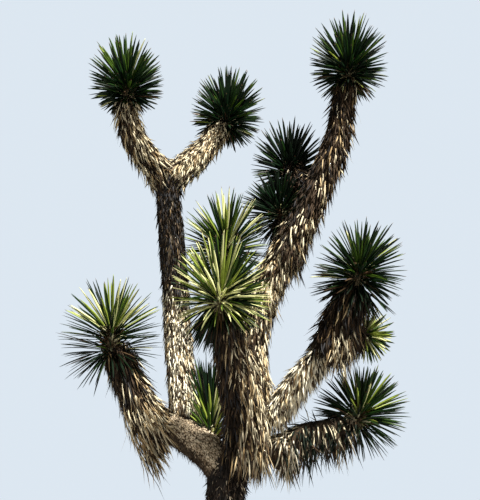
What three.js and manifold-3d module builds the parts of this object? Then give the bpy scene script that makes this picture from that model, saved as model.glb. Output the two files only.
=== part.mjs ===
// A tree yucca in a plain round pot, about five metres tall. A short thick trunk forks low
// down into bare and thatched limbs. Each limb ends in a head of stiff leaves, and the dead
// leaves of earlier years hang round the limb below the head as a thatch.
// Millimetres, +Z up, origin on the floor under the middle of the pot. The crown is widest
// along X, and its front is towards -Y.
import * as THREE from "three";
import { mergeVertices } from "three/addons/utils/BufferGeometryUtils.js";
import Module from "manifold-3d";

const wasm = await Module();
wasm.setup();

// Pot and soil
const POT_HEIGHT = 750;
const POT_FOOT_RADIUS = 430;
const POT_SHOULDER_RADIUS = 520;
const POT_RIM_RADIUS = 550;
const RIM_BAND_HEIGHT = 120;
const POT_WALL = 32;
const POT_FLOOR = 40;
const LIP_ROUND = 12;
const SOIL_TOP = 690;
const ROUND_SIDES = 28;

// Trunk
const TRUNK_RADIUS = 115;
const FLARE_RADIUS = 80;
const FLARE_HEIGHT = 170;
const FORK_SWELL = 10;
const BUTTRESSES = 5;
const BUTTRESS_SHARE = 0.1;
const TRUNK_SIDES = 12;
const TRUNK_RINGS = 7;
const TRUNK_PATH = [[0, 0, 690.3], [-8, 6, 1000], [-4, 2, 1315], [20, 0, 1545]];

// Clearance between neighbours, so that no two pieces share space
const GAP = 0.3;
const CUT_GAP = 0.4;

// The surface that joins the leaf tips of a head dips between one bunch of leaves and the next.
const TIP_DIP = 0.74;

const UP = new THREE.Vector3(0, 0, 1);

// Every limb follows a smooth curve through a few points. Its radius shrinks evenly from its
// foot to its tip. Limbs come parent first, because each one is cut back from those before it.
const LIMBS = [
  {
    name: "left_bough",
    radius: [116, 104],
    spine: [[10, 0, 1490], [-138, 50, 1640], [-258, 110, 1727], [-363, 130, 1792]],
  },
  {
    name: "left_stem",
    radius: [74, 60],
    spine: [
      [-270, 130, 1771], [-293, 150, 1960], [-335, 170, 2323], [-363, 150, 2749],
      [-398, 100, 3118], [-418, 50, 3354], [-430, 20, 3595],
    ],
  },
  {
    name: "top_left_arm",
    radius: [60, 44],
    spine: [
      [-440, 20, 3525], [-525, -40, 3640], [-610, -120, 3720], [-675, -200, 3830], [-705, -240, 3975],
      [-705, -250, 4060],
    ],
  },
  {
    name: "inner_left_arm",
    radius: [60, 44],
    spine: [
      [-425, 20, 3525], [-345, 60, 3625], [-240, 130, 3750], [-145, 200, 3890], [-75, 260, 4030],
      [-40, 285, 4095],
    ],
  },
  {
    name: "low_left_arm",
    radius: [60, 46],
    spine: [
      [-337, 125, 1771], [-440, 125, 1830], [-552, 120, 1944], [-646, 100, 2084], [-722, 80, 2236],
      [-766, 60, 2330],
    ],
  },
  {
    name: "right_bough",
    radius: [80, 46],
    spine: [
      [80, 0, 1490], [150, 20, 1695], [175, 40, 1960], [145, 80, 2275], [170, 100, 2465],
      [220, 120, 2640], [290, 130, 2805], [395, 150, 2985], [500, 170, 3200], [620, 190, 3450],
      [735, 205, 3700], [820, 215, 3945], [870, 215, 4195], [905, 205, 4400],
    ],
  },
  {
    name: "centre_stem",
    radius: [70, 48],
    spine: [
      [90, -10, 1520], [125, -80, 1720], [110, -190, 1935], [68, -330, 2135], [20, -470, 2300],
      [-15, -570, 2430],
    ],
  },
  {
    name: "centre_back_arm",
    radius: [56, 46],
    spine: [[155, 85, 2310], [120, 80, 2530], [65, 90, 2750], [10, 100, 2960]],
  },
  {
    name: "low_right_arm",
    radius: [56, 46],
    spine: [
      [155, 10, 1560], [385, 45, 1668], [466, 80, 1712], [577, 130, 1760], [727, 200, 1792], [862, 280, 1842],
    ],
  },
  {
    name: "mid_right_arm",
    radius: [60, 48],
    spine: [
      [190, 25, 1740], [286, 10, 1852], [378, 0, 1958], [513, -20, 2134], [667, -40, 2305],
      [778, -60, 2508], [872, -80, 2711],
    ],
  },
  {
    name: "mid_right_shoot",
    radius: [44, 36],
    spine: [[723, -50, 2419], [833, 40, 2418], [941, 120, 2422]],
  },
  {
    name: "behind_arm",
    radius: [56, 46],
    spine: [[620, 195, 3450], [575, 320, 3575], [500, 535, 3820]],
  },
  {
    name: "inner_arm",
    radius: [52, 42],
    spine: [[400, 150, 2985], [420, 215, 3140], [404, 285, 3300]],
  },
  {
    name: "bough_shoot",
    radius: [50, 42],
    spine: [[-150, 60, 1650], [-142, 90, 1700], [-125, 110, 1750]],
  },
];

// Thatch: dead leaves hanging round a limb, from share `from` of its length to share `to`.
// `thick` is how far it stands off the limb at its lower and upper end, and `hang` is how far
// the leaves drop below a limb that lies level.
const THATCHES = [
  { name: "left_stem_thatch", limb: "left_stem", from: 0.05, to: 0.99, thick: [30, 32], hang: 30 },
  { name: "right_lower_thatch", limb: "right_bough", from: 0.02, to: 0.5, thick: [94, 62], hang: 80 },
  { name: "right_upper_thatch", limb: "right_bough", from: 0.5, to: 0.97, thick: [72, 40], hang: 50 },
  { name: "centre_thatch", limb: "centre_stem", from: 0.06, to: 0.95, thick: [108, 58], hang: 140 },
  { name: "top_left_thatch", limb: "top_left_arm", from: 0.02, to: 0.95, thick: [32, 26], hang: 50 },
  { name: "inner_left_thatch", limb: "inner_left_arm", from: 0.02, to: 0.95, thick: [46, 36], hang: 40 },
  { name: "low_left_thatch", limb: "low_left_arm", from: 0.13, to: 0.94, thick: [76, 64], hang: 430 },
  { name: "centre_back_thatch", limb: "centre_back_arm", from: 0.3, to: 0.95, thick: [44, 44], hang: 60 },
  { name: "low_right_thatch", limb: "low_right_arm", from: 0.14, to: 0.9, thick: [50, 40], hang: 50 },
  { name: "mid_right_thatch", limb: "mid_right_arm", from: 0.12, to: 0.57, thick: [22, 26], hang: 30 },
  { name: "mid_right_skirt", limb: "mid_right_arm", from: 0.59, to: 0.96, thick: [86, 84], hang: 300 },
  { name: "behind_thatch", limb: "behind_arm", from: 0.22, to: 0.94, thick: [56, 60], hang: 160 },
  { name: "inner_thatch", limb: "inner_arm", from: 0.34, to: 0.92, thick: [40, 44], hang: 60 },
];

// Leaf heads: `heart` is where the leaves radiate from, and `reach` is how far their tips get
// along the axis, across it and back past the heart.
const HEADS = [
  { name: "top_left_head", heart: [-710, -255, 4120], reach: [425, 270, 215], axis: [-0.1, -0.1, 1] },
  { name: "inner_left_head", heart: [-10, 300, 4150], reach: [445, 290, 260], axis: [0.12, 0.1, 1] },
  { name: "right_top_head", heart: [925, 200, 4515], reach: [485, 312, 320], axis: [0.02, 0, 1] },
  { name: "behind_head", heart: [480, 560, 3825], reach: [455, 310, 290], axis: [0.02, 0.15, 1] },
  { name: "centre_head", heart: [-30, -620, 2505], reach: [455, 310, 300], axis: [0.02, -0.1, 1] },
  { name: "centre_back_head", heart: [-10, 105, 3040], reach: [450, 330, 290], axis: [0, -0.1, 1] },
  { name: "inner_head", heart: [380, 300, 3385], reach: [335, 300, 295], axis: [-0.4, -0.15, 1] },
  { name: "low_left_head", heart: [-790, 50, 2395], reach: [440, 370, 380], axis: [0, -0.2, 1] },
  { name: "mid_right_head", heart: [909, -100, 2822], reach: [405, 325, 345], axis: [0.32, -0.1, 1] },
  { name: "mid_right_small_head", heart: [971, 150, 2425], reach: [205, 215, 215], axis: [0.7, 0.3, -0.2] },
  { name: "low_right_head", heart: [930, 330, 1898], reach: [368, 350, 350], axis: [0.45, 0.1, 0.9] },
  { name: "bough_head", heart: [-104, 120, 1780], reach: [520, 165, 62], axis: [-0.05, 0, 1] },
];

const LOOKS = {
  pot: { color: 0xb0714d, roughness: 0.85 },
  soil: { color: 0x4a3a2c, roughness: 0.95 },
  bark: { color: 0x6f5c48, roughness: 0.95 },
  thatch: { color: 0xa48d69, roughness: 0.9 },
  leaf: { color: 0x5c7a2a, roughness: 0.55 },
};

const materials = {};
for (const [name, look] of Object.entries(LOOKS)) {
  materials[name] = new THREE.MeshStandardMaterial({ metalness: 0, ...look });
}

// The geometry with each corner stored once, so that faces stay joined when corners move.
function welded(geometry) {
  geometry.deleteAttribute("normal");
  geometry.deleteAttribute("uv");
  return mergeVertices(geometry, 1e-4);
}

// A closed, welded geometry as a solid that can be joined and cut.
function toSolid(geometry) {
  return new wasm.Manifold(
    new wasm.Mesh({
      numProp: 3,
      vertProperties: new Float32Array(geometry.attributes.position.array),
      triVerts: new Uint32Array(geometry.index.array),
    }),
  );
}

// The largest body of a solid, as a geometry. A cut can leave loose slivers beside it.
function toGeometry(solid) {
  const largest = solid.decompose().reduce((best, body) => (body.volume() > best.volume() ? body : best));
  const { vertProperties, triVerts } = largest.getMesh();
  const geometry = new THREE.BufferGeometry();
  geometry.setAttribute("position", new THREE.BufferAttribute(vertProperties, 3));
  geometry.setIndex(new THREE.BufferAttribute(triVerts, 1));
  geometry.computeVertexNormals();
  return geometry;
}

const mix = THREE.MathUtils.lerp;
const smooth = THREE.MathUtils.smoothstep;

const CURVE_FRAMES = 200;

// A capped cylinder bent along a curve from share `from` to share `to` of its length.
// offset(t, outward, tangent, side) says where a corner lies from the curve. `outward` is a
// unit vector for a corner of the wall and zero for the middle of a cap.
function bentCylinder(curve, from, to, sides, steps, offset) {
  const geometry = welded(new THREE.CylinderGeometry(1, 1, 1, sides, steps));
  const frames = curve.computeFrenetFrames(CURVE_FRAMES);
  const { position } = geometry.attributes;
  const corner = new THREE.Vector3();
  for (let i = 0; i < position.count; i += 1) {
    corner.fromBufferAttribute(position, i);
    const t = corner.y + 0.5;
    const along = THREE.MathUtils.clamp(mix(from, to, t), 0, 1);
    const k = Math.round(along * CURVE_FRAMES);
    const outward = new THREE.Vector3()
      .addScaledVector(frames.normals[k], corner.x)
      .addScaledVector(frames.binormals[k], -corner.z);
    const place = curve.getPointAt(along);
    const beyond = (mix(from, to, t) - along) * curve.getLength();
    place.addScaledVector(frames.tangents[k], beyond);
    const side = Math.round((Math.atan2(corner.x, corner.z) / (2 * Math.PI)) * sides);
    place.add(offset(t, outward, frames.tangents[k], side));
    position.setXYZ(i, place.x, place.y, place.z);
  }
  return toSolid(geometry);
}

function curveThrough(points) {
  return new THREE.CatmullRomCurve3(points.map((p) => new THREE.Vector3(...p)), false, "centripetal");
}

const limbByName = new Map(LIMBS.map((limb) => [limb.name, { ...limb, curve: curveThrough(limb.spine) }]));

const LIMB_SIDES = 7;
const LIMB_STEP = 520;

function limbRadius(limb, along) {
  return mix(limb.radius[0], limb.radius[1], along);
}

function limbSolid(limb, gap) {
  const steps = Math.max(2, Math.round(limb.curve.getLength() / LIMB_STEP));
  const end = gap / limb.curve.getLength();
  return bentCylinder(limb.curve, -end, 1 + end, LIMB_SIDES, steps, (t, outward) =>
    outward.clone().multiplyScalar(limbRadius(limb, t) + gap),
  );
}

// The trunk: a flat cut at the soil, a root flare, and a slight swelling under the fork.
function trunkSolid(gap) {
  const curve = curveThrough(TRUNK_PATH);
  const height = curve.getLength();
  return bentCylinder(curve, 0, 1 + gap / height, TRUNK_SIDES, TRUNK_RINGS, (t, outward) => {
    const rise = t * height;
    const fade = Math.exp(-rise / FLARE_HEIGHT);
    const ridge = BUTTRESS_SHARE * fade * Math.cos(BUTTRESSES * Math.atan2(outward.y, outward.x));
    const swell = FORK_SWELL * smooth(rise, height * 0.6, height);
    const radius = (TRUNK_RADIUS + FLARE_RADIUS * fade + swell) * (1 + ridge);
    const level = outward.clone().multiplyScalar(radius + gap);
    if (t === 0) level.z = 0;
    return level;
  });
}

const THATCH_SIDES = 8;
const THATCH_STEP = 430;
const HEM_TOOTH = 70;
const RUFFLE_SHARE = 0.12;
const HANG_GROWS = 0.8;

// Thatch round a limb. The leaves on the underside of a leaning limb hang away from it, and the
// lower end is a ragged hem.
function thatchSolid(thatch, gap) {
  const limb = limbByName.get(thatch.limb);
  const length = limb.curve.getLength();
  const steps = Math.max(3, Math.round(((thatch.to - thatch.from) * length) / THATCH_STEP));
  const low = thatch.from - gap / length;
  const high = thatch.to + gap / length;
  return bentCylinder(limb.curve, low, high, THATCH_SIDES, steps, (t, outward, tangent, side) => {
    const along = mix(thatch.from, thatch.to, t);
    const ruffle = 1 + RUFFLE_SHARE * Math.sin(9 * t + 3 * Math.atan2(outward.y, outward.x));
    const stand = mix(thatch.thick[0], thatch.thick[1], t) * ruffle;
    const place = outward.clone().multiplyScalar(limbRadius(limb, along) + stand + gap);
    const lean = Math.sqrt(Math.max(0, 1 - tangent.z * tangent.z));
    const under = outward.length() * (0.5 - 0.5 * outward.z) * smooth(1 - t, 0, HANG_GROWS);
    place.z -= thatch.hang * lean * under;
    if (t === 0 && outward.lengthSq() > 0.5 && side % 2 === 0) place.z -= HEM_TOOTH;
    return place;
  });
}

// A head has 32 bunches of leaf tips: one on each corner and on each face of an icosahedron.
const BALL_DETAIL = 2;
const keyOf = (v) => [v.x, v.y, v.z].map((n) => Math.round(n * 1000) || 0).join();
const bunches = new Set();
const twenty = new THREE.IcosahedronGeometry(1, 0).attributes.position;
for (let face = 0; face < twenty.count; face += 3) {
  const corners = [0, 1, 2].map((k) => new THREE.Vector3().fromBufferAttribute(twenty, face + k));
  corners.forEach((corner) => bunches.add(keyOf(corner)));
  bunches.add(keyOf(corners[0].clone().add(corners[1]).add(corners[2]).normalize()));
}

function headSolid(head, gap) {
  const heart = new THREE.Vector3(...head.heart);
  const [ahead, across, back] = head.reach;
  const turn = new THREE.Quaternion().setFromUnitVectors(UP, new THREE.Vector3(...head.axis).normalize());
  const geometry = welded(new THREE.IcosahedronGeometry(1, BALL_DETAIL));
  const { position } = geometry.attributes;
  const corner = new THREE.Vector3();
  for (let i = 0; i < position.count; i += 1) {
    corner.fromBufferAttribute(position, i);
    const reach = mix(across, corner.z > 0 ? ahead : back, corner.z * corner.z);
    const bunch = bunches.has(keyOf(corner)) ? 1 : TIP_DIP;
    corner.applyQuaternion(turn).multiplyScalar(reach * bunch + gap).add(heart);
    position.setXYZ(i, corner.x, corner.y, corner.z);
  }
  return toSolid(geometry);
}

function lathe(profile) {
  const points = profile.map(([radius, height]) => new THREE.Vector2(radius, height));
  return new THREE.LatheGeometry(points, ROUND_SIDES).rotateX(Math.PI / 2);
}

// A straight-walled pot with a rolled band at its rim, hollow down to a thick floor.
function potGeometry() {
  const bandFoot = POT_HEIGHT - RIM_BAND_HEIGHT;
  return lathe([
    [0, 0],
    [POT_FOOT_RADIUS, 0],
    [POT_SHOULDER_RADIUS, bandFoot],
    [POT_RIM_RADIUS, bandFoot],
    [POT_RIM_RADIUS, POT_HEIGHT - LIP_ROUND],
    [POT_RIM_RADIUS - LIP_ROUND, POT_HEIGHT],
    [POT_RIM_RADIUS - POT_WALL, POT_HEIGHT],
    [POT_FOOT_RADIUS - POT_WALL, POT_FLOOR],
    [0, POT_FLOOR],
  ]);
}

// Inner radius of the pot at a height, on the straight slope from its floor to its rim.
function potInside(height) {
  const share = (height - POT_FLOOR) / (POT_HEIGHT - POT_FLOOR);
  return mix(POT_FOOT_RADIUS, POT_RIM_RADIUS, share) - POT_WALL;
}

function soilGeometry() {
  const bottom = POT_FLOOR + GAP;
  return lathe([
    [0, bottom],
    [potInside(bottom) - 2 * GAP, bottom],
    [potInside(SOIL_TOP) - 2 * GAP, SOIL_TOP],
    [0, SOIL_TOP],
  ]);
}

const yucca = new THREE.Group();

function addPiece(name, geometry, look) {
  const mesh = new THREE.Mesh(geometry, materials[look]);
  mesh.name = name;
  yucca.add(mesh);
}

addPiece("pot", potGeometry(), "pot");
addPiece("soil", soilGeometry(), "soil");

// Wood first, then thatch, then leaf heads: each piece gives way to every piece before it.
const growth = [
  ["trunk", "bark", trunkSolid],
  ...[...limbByName.values()].map((limb) => [limb.name, "bark", (gap) => limbSolid(limb, gap)]),
  ...THATCHES.map((thatch) => [thatch.name, "thatch", (gap) => thatchSolid(thatch, gap)]),
  ...HEADS.map((head) => [head.name, "leaf", (gap) => headSolid(head, gap)]),
];

const placed = [];
for (const [name, look, solid] of growth) {
  const whole = solid(0);
  const cut = placed.reduce((rest, earlier) => rest.subtract(earlier), whole);
  addPiece(name, toGeometry(cut), look);
  placed.push(solid(CUT_GAP).add(whole));
}

export default yucca;
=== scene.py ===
"""A tree yucca about five metres tall, in a plain round terracotta pot.

Metres, +Z up, with the origin on the floor under the middle of the pot. The crown is widest along X and its
front is towards -Y. Detailed pieces replace all the CAD solids, and smaller ones lie on them and in them.
"""
from functools import partial

import bpy
import numpy as np
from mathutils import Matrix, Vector


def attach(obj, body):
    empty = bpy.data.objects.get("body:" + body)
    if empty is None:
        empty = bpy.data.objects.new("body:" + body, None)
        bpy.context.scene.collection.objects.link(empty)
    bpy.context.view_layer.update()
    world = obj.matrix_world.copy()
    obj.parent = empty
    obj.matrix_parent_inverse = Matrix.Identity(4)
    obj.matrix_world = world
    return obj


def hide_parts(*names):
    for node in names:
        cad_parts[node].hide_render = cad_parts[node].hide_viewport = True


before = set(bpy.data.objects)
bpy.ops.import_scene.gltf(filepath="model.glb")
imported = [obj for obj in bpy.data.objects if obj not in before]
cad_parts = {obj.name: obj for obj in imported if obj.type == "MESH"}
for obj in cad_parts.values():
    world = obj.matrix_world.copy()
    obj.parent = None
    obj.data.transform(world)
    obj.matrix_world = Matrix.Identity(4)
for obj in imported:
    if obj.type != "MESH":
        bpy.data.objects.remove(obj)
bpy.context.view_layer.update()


# The pot: a big planter of fired clay. Its wall widens upwards to a thick rolled band, and it stands on a
# flat foot. It was thrown by hand, so faint rings run round it, and years of watering have left pale lime
# on it.
POT_HEIGHT = 0.75
POT_FOOT_RADIUS = 0.43
POT_SHOULDER_RADIUS = 0.52
POT_RIM_RADIUS = 0.55
POT_BAND_FOOT = 0.63
POT_WALL = 0.032
POT_FLOOR = 0.04
POT_PROFILE_STEP = 0.008
POT_ROUND_STEPS = 144
RING_DEPTH = 0.0007
RING_PITCH = 0.021
RING_SWELLS = 23
RINGS_SET_IN = (0.03, 0.06)
RINGS_DIE_OUT = (0.7, 0.72)
CLAY = (0.40, 0.155, 0.075)
CLAY_PALE = (0.52, 0.27, 0.155)
CLAY_DARK = (0.24, 0.085, 0.045)
LIME = (0.60, 0.47, 0.37)


def put_mesh(name, corners, quads, triangles):
    """A mesh object at the origin. Its faces are the rows of corner numbers in quads, then in triangles."""
    mesh = bpy.data.meshes.new(name)
    mesh.vertices.add(len(corners))
    mesh.vertices.foreach_set("co", corners.astype(np.float32).ravel())
    loops = np.concatenate([quads.ravel(), triangles.ravel()])
    mesh.loops.add(len(loops))
    mesh.loops.foreach_set("vertex_index", loops.astype(np.int32))
    mesh.polygons.add(len(quads) + len(triangles))
    starts = np.concatenate([4 * np.arange(len(quads)), quads.size + 3 * np.arange(len(triangles))])
    mesh.polygons.foreach_set("loop_start", starts.astype(np.int32))
    mesh.update(calc_edges=True)
    piece = bpy.data.objects.new(name, mesh)
    bpy.context.scene.collection.objects.link(piece)
    return piece


def stacked_rings(name, rings):
    """A smooth closed surface from a stack of rings, where rings[i, j] is corner j of ring i.

    Each ring joins the next and its last corner joins its first. A fan to the mean of the ring's corners
    fills each end of the stack, so that nothing is left open."""
    count, around = rings.shape[:2]
    corners = np.vstack([rings.reshape(-1, 3), rings[0].mean(axis=0), rings[-1].mean(axis=0)])
    here = np.arange(around)
    after = (here + 1) % around
    below = np.arange(count - 1)[:, None] * around
    quads = np.stack([below + here, below + after, below + around + after, below + around + here], axis=-1)
    last = (count - 1) * around
    start_fan = np.stack([np.full(around, count * around), after, here], axis=-1)
    end_fan = np.stack([np.full(around, count * around + 1), last + here, last + after], axis=-1)
    piece = put_mesh(name, corners, quads.reshape(-1, 4), np.vstack([start_fan, end_fan]))
    piece.data.polygons.foreach_set("use_smooth", np.full(len(piece.data.polygons), True))
    return piece


def blend_between(low, high, share):
    """A straight mix: low where share is 0 and high where it is 1."""
    return low + (high - low) * share


def ease(value, start, end):
    """0 below start and 1 above end, with a smooth S between them."""
    share = np.clip((value - start) / (end - start), 0, 1)
    return share * share * (3 - 2 * share)


def evenly_along(points, step):
    """The broken line through the points, cut into equal lengths of about one step."""
    points = np.array(points, float)
    reach = np.concatenate([[0], np.cumsum(np.linalg.norm(np.diff(points, axis=0), axis=1))])
    places = np.linspace(0, reach[-1], max(2, int(reach[-1] / step)) + 1)
    return np.stack([np.interp(places, reach, column) for column in points.T], axis=-1)


def surface(name, colour, roughness):
    """A material with one base colour and one roughness, its node tree and its shader."""
    material = bpy.data.materials.new(name)
    material.use_nodes = True
    shader = material.node_tree.nodes["Principled BSDF"]
    shader.inputs["Base Color"].default_value = (*colour, 1.0)
    shader.inputs["Roughness"].default_value = roughness
    return material, material.node_tree, shader


def grain(tree, scale, detail, stretch=1.0):
    """Noise over the piece's own coordinates. It is drawn out along Z where stretch is below 1."""
    place = tree.nodes.new("ShaderNodeTexCoord")
    turn = tree.nodes.new("ShaderNodeMapping")
    turn.inputs["Scale"].default_value = (1.0, 1.0, stretch)
    noise = tree.nodes.new("ShaderNodeTexNoise")
    noise.inputs["Scale"].default_value = scale
    noise.inputs["Detail"].default_value = detail
    tree.links.new(place.outputs["Object"], turn.inputs["Vector"])
    tree.links.new(turn.outputs["Vector"], noise.inputs["Vector"])
    return noise.outputs["Fac"]


def shades(tree, amount, stops):
    """Colours picked by an amount from 0 to 1: stops holds (amount, colour) pairs in rising order."""
    ramp = tree.nodes.new("ShaderNodeValToRGB")
    elements = ramp.color_ramp.elements
    while len(elements) < len(stops):
        elements.new(0.5)
    for element, (position, colour) in zip(elements, stops):
        element.position = position
        element.color = (*colour, 1.0)
    tree.links.new(amount, ramp.inputs["Fac"])
    return ramp.outputs["Color"]


def mixed(tree, share, first, second):
    """The first colour where share is 0 and the second where it is 1."""
    mix = tree.nodes.new("ShaderNodeMix")
    mix.data_type = "RGBA"
    tree.links.new(share, mix.inputs["Factor"])
    tree.links.new(first, mix.inputs["A"])
    tree.links.new(second, mix.inputs["B"])
    return mix.outputs["Result"]


def spread(tree, amount, low, high):
    """An amount from low to high stretched to run from 0 to 1."""
    stretch = tree.nodes.new("ShaderNodeMapRange")
    stretch.inputs["From Min"].default_value = low
    stretch.inputs["From Max"].default_value = high
    tree.links.new(amount, stretch.inputs["Value"])
    return stretch.outputs["Result"]


def raised(tree, shader, height, distance, strength=1.0):
    """Small relief in the shading: the surface stands proud where height is large."""
    relief = tree.nodes.new("ShaderNodeBump")
    relief.inputs["Distance"].default_value = distance
    relief.inputs["Strength"].default_value = strength
    tree.links.new(height, relief.inputs["Height"])
    tree.links.new(relief.outputs["Normal"], shader.inputs["Normal"])


def pot_profile():
    """Radius and height up the outside of the wall, over the rim and down the inside to the floor."""
    middle = 0.02
    foot_bevel = 0.01
    foot_flare = 0.002
    band_bevel = 0.012
    soft_edge = 0.003
    softer_edge = 0.004
    lip = 0.012
    inner_lip = 0.006
    return evenly_along(
        [
            (middle, 0.0),
            (POT_FOOT_RADIUS - foot_bevel, 0.0),
            (POT_FOOT_RADIUS - soft_edge, soft_edge),
            (POT_FOOT_RADIUS + foot_flare, foot_bevel),
            (POT_SHOULDER_RADIUS, POT_BAND_FOOT - softer_edge),
            (POT_RIM_RADIUS - band_bevel, POT_BAND_FOOT),
            (POT_RIM_RADIUS - soft_edge, POT_BAND_FOOT + softer_edge),
            (POT_RIM_RADIUS, POT_BAND_FOOT + band_bevel),
            (POT_RIM_RADIUS, POT_HEIGHT - lip),
            (POT_RIM_RADIUS - softer_edge, POT_HEIGHT - softer_edge),
            (POT_RIM_RADIUS - lip, POT_HEIGHT),
            (POT_RIM_RADIUS - POT_WALL + inner_lip, POT_HEIGHT),
            (POT_RIM_RADIUS - POT_WALL, POT_HEIGHT - inner_lip),
            (POT_FOOT_RADIUS - POT_WALL, POT_FLOOR),
            (middle, POT_FLOOR),
        ],
        POT_PROFILE_STEP,
    )


def turned(profile, steps):
    """Rings of a shape turned on a wheel: each (radius, height) of the profile is carried once round +Z."""
    angle = np.arange(steps) * 2 * np.pi / steps
    radius, height = profile[:, :1], profile[:, 1:]
    return np.stack([radius * np.cos(angle), radius * np.sin(angle), height + 0 * angle], axis=-1)


pot_rings = turned(pot_profile(), POT_ROUND_STEPS)
pot_height = pot_rings[..., 2]
pot_wave = np.sin(pot_height * 2 * np.pi / RING_PITCH) * np.sin(pot_height * RING_SWELLS) * RING_DEPTH
pot_on_wall = ease(pot_height, *RINGS_SET_IN) * (1 - ease(pot_height, *RINGS_DIE_OUT))
pot_rings[..., :2] *= 1 + (pot_wave * pot_on_wall)[..., None] / POT_FOOT_RADIUS
pot = stacked_rings("pot_clay", pot_rings)

clay, tree, shader = surface("clay", CLAY, roughness=0.86)
clay_stops = [(0.30, CLAY_DARK), (0.48, CLAY), (0.70, CLAY_PALE)]
clay_patches = shades(tree, grain(tree, scale=3.2, detail=6), clay_stops)
clay_lime = shades(tree, grain(tree, scale=5.0, detail=8), [(0.0, LIME), (1.0, CLAY_PALE)])
lime_blooms = grain(tree, scale=2.1, detail=8, stretch=2.2)
clay_lime_share = spread(tree, lime_blooms, low=0.56, high=0.80)
tree.links.new(mixed(tree, clay_lime_share, clay_patches, clay_lime), shader.inputs["Base Color"])
clay_grit = grain(tree, scale=130, detail=6, stretch=2.0)
raised(tree, shader, clay_grit, distance=0.0016, strength=0.55)
pot.data.materials.append(clay)
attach(pot, "root")
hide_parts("pot")


# The soil: gritty loam that fills the pot to six centimetres below its rim. It is heaped up a little against
# the trunk and the wall, and small stones and crumbs of bark lie on it.
SOIL_TOP = 0.69
SOIL_TOP_RADIUS = 0.507
SOIL_FOOT_RADIUS = 0.3975
SOIL_FOOT = 0.0405
SOIL_MIDDLE = 0.01
SOIL_TOP_STEPS = 70
SOIL_SIDE_STEPS = 12
SOIL_ROUND_STEPS = 180
# Height and wavelength of the lumps, from large to small.
SOIL_LUMPS = [(0.004, 0.11), (0.0025, 0.037), (0.0012, 0.014)]
SOIL_SEED = 11
TRUNK_HEAP = 0.016
TRUNK_HEAP_RADIUS = 0.2
TRUNK_HEAP_WIDTH = 0.06
WALL_HEAP = 0.006
WALL_HEAP_SPAN = (0.44, 0.5)
LOAM_DARK = (0.045, 0.028, 0.018)
LOAM = (0.10, 0.065, 0.042)
LOAM_DRY = (0.21, 0.15, 0.105)
STONE_COUNT = 900
STONE_SEED = 21
STONE_REACH = (0.23, 0.497)
STONE_LEAST_SIZE = 0.0035
STONE_MORE_SIZE = 0.011
STONE_SIDES = 6
STONE_RINGS = (0.12, 0.38, 0.64, 0.88)
STONE_SHADES = [(0.34, 0.29, 0.24), (0.20, 0.17, 0.145), (0.42, 0.33, 0.23), (0.12, 0.095, 0.08)]


def mottled(name, colour, stops, roughness, patches, grit, distance, strength):
    """A material whose colour goes through the stops with one noise, and whose relief follows a finer one.

    patches and grit hold the scale, the detail and the stretch of the two noises."""
    material, tree, shader = surface(name, colour, roughness)
    tree.links.new(shades(tree, grain(tree, *patches), stops), shader.inputs["Base Color"])
    raised(tree, shader, grain(tree, *grit), distance, strength)
    return material


def waviness(places, wavelength, seed):
    """Smooth unevenness from about -1 to 1: the sum of eight sine waves of one wavelength, in random ways."""
    rng = np.random.default_rng(seed)
    ways = rng.normal(size=(8, 3))
    ways *= 2 * np.pi / wavelength / np.linalg.norm(ways, axis=1, keepdims=True)
    return np.sin(places @ ways.T + rng.uniform(0, 2 * np.pi, 8)).sum(axis=-1) / 4


soil_across = np.linspace(SOIL_TOP_RADIUS, SOIL_MIDDLE, SOIL_TOP_STEPS)
soil_surface = np.stack([soil_across, np.full(SOIL_TOP_STEPS, SOIL_TOP)], axis=-1)
soil_out = np.linspace(SOIL_FOOT_RADIUS, SOIL_TOP_RADIUS, SOIL_SIDE_STEPS)
soil_side = np.stack([soil_out, np.linspace(SOIL_FOOT, SOIL_TOP, SOIL_SIDE_STEPS)], axis=-1)
soil_profile = np.vstack([[(SOIL_MIDDLE, SOIL_FOOT)], soil_side, soil_surface[1:]])
soil_rings = turned(soil_profile, SOIL_ROUND_STEPS)
soil_reach = np.hypot(soil_rings[..., 0], soil_rings[..., 1])
soil_lumps = sum(
    height * waviness(soil_rings, wavelength, SOIL_SEED + number)
    for number, (height, wavelength) in enumerate(SOIL_LUMPS)
)
trunk_heap = TRUNK_HEAP * np.exp(-((soil_reach - TRUNK_HEAP_RADIUS) / TRUNK_HEAP_WIDTH) ** 2)
soil_heap = trunk_heap + WALL_HEAP * ease(soil_reach, *WALL_HEAP_SPAN)
soil_on_top = soil_rings[..., 2] >= SOIL_TOP
soil_rings[..., 2] += np.where(soil_on_top, soil_lumps + soil_heap, 0)
soil = stacked_rings("soil_loam", soil_rings)

loam_stops = [(0.34, LOAM_DARK), (0.5, LOAM), (0.68, LOAM_DRY)]
loam = mottled(
    "loam", LOAM, loam_stops, roughness=0.95, patches=(60, 8), grit=(240, 8), distance=0.004, strength=0.9
)
soil.data.materials.append(loam)
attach(soil, "root")
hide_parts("soil")


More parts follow.
